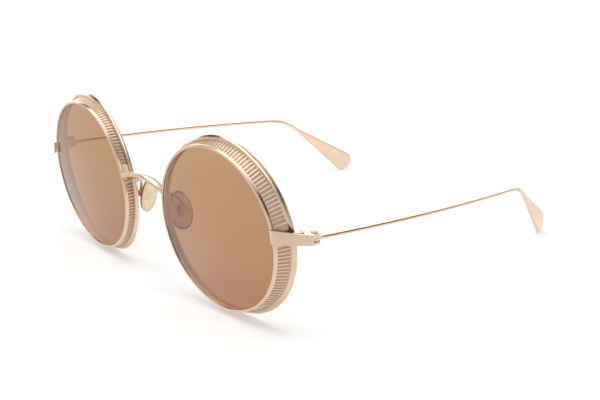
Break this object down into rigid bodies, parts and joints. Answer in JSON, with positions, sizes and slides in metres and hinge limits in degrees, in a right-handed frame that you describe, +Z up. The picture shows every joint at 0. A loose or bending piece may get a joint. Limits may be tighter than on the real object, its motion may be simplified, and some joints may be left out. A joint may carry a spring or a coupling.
{
  "type": "sunglasses",
  "caption": "Round metal sunglasses with deep fluted rims, tinted curved lenses, a low arched bridge, rocking oval nose pads and thin folding temples that end in flat paddles.",
  "frame": {"origin": "middle of the whole object's footprint, on the table that the open glasses stand on", "axes": "+X towards the wearer's left, +Y backwards along the temples, +Z up; the lenses face -Y"},
  "size_m": [0.1426, 0.1416, 0.0568],
  "materials": {
    "frame_metal": "polished rose gold plating",
    "screw_metal": "plated, slightly darker than the frame",
    "tinted_lens": "copper brown tint with a faint mirror flash",
    "pad_plastic": "cream, slightly see-through"
  },
  "bodies": {
    "front": {"bridge": "frame_metal", "front_rim_left": "frame_metal", "front_rim_right": "frame_metal", "fluted_band_left": "frame_metal", "fluted_band_right": "frame_metal", "rear_rim_left": "frame_metal", "rear_rim_right": "frame_metal", "lens_left": "tinted_lens", "lens_right": "tinted_lens", "end_piece_left": "frame_metal", "end_piece_right": "frame_metal", "closing_block_left": "frame_metal", "closing_block_right": "frame_metal", "closing_screw_left": "screw_metal", "closing_screw_right": "screw_metal", "hinge_screw_left": "screw_metal", "hinge_screw_right": "screw_metal", "pad_arm_left": "frame_metal", "pad_arm_right": "frame_metal", "pad_box_left": "frame_metal", "pad_box_right": "frame_metal", "pad_screw_left": "screw_metal", "pad_screw_right": "screw_metal"},
    "temple_arm_left": {"temple_left": "frame_metal", "temple_tongue_left": "frame_metal"},
    "temple_arm_right": {"temple_right": "frame_metal", "temple_tongue_right": "frame_metal"},
    "pad_left": {"nose_pad_left": "pad_plastic", "pad_lug_left": "frame_metal"},
    "pad_right": {"nose_pad_right": "pad_plastic", "pad_lug_right": "frame_metal"}
  },
  "joints": [
    {"name": "temple_fold_left", "type": "hinge", "parent": "front", "child": "temple_arm_left", "pos_m": [0.06956, -0.05679, 0.03168], "axis": [0, 0, 1], "range_deg": [0, 82]},
    {"name": "temple_fold_right", "type": "hinge", "parent": "front", "child": "temple_arm_right", "pos_m": [-0.06956, -0.05679, 0.03168], "axis": [0, 0, -1], "range_deg": [0, 76]},
    {"name": "pad_rock_left", "type": "hinge", "parent": "front", "child": "pad_left", "pos_m": [0.01245, -0.0617, 0.02663], "axis": [0.2401, 0.9649, 0.1066], "range_deg": [-10, 10]},
    {"name": "pad_rock_right", "type": "hinge", "parent": "front", "child": "pad_right", "pos_m": [-0.01245, -0.0617, 0.02663], "axis": [-0.2401, 0.9649, 0.1066], "range_deg": [-10, 10]}
  ]
}
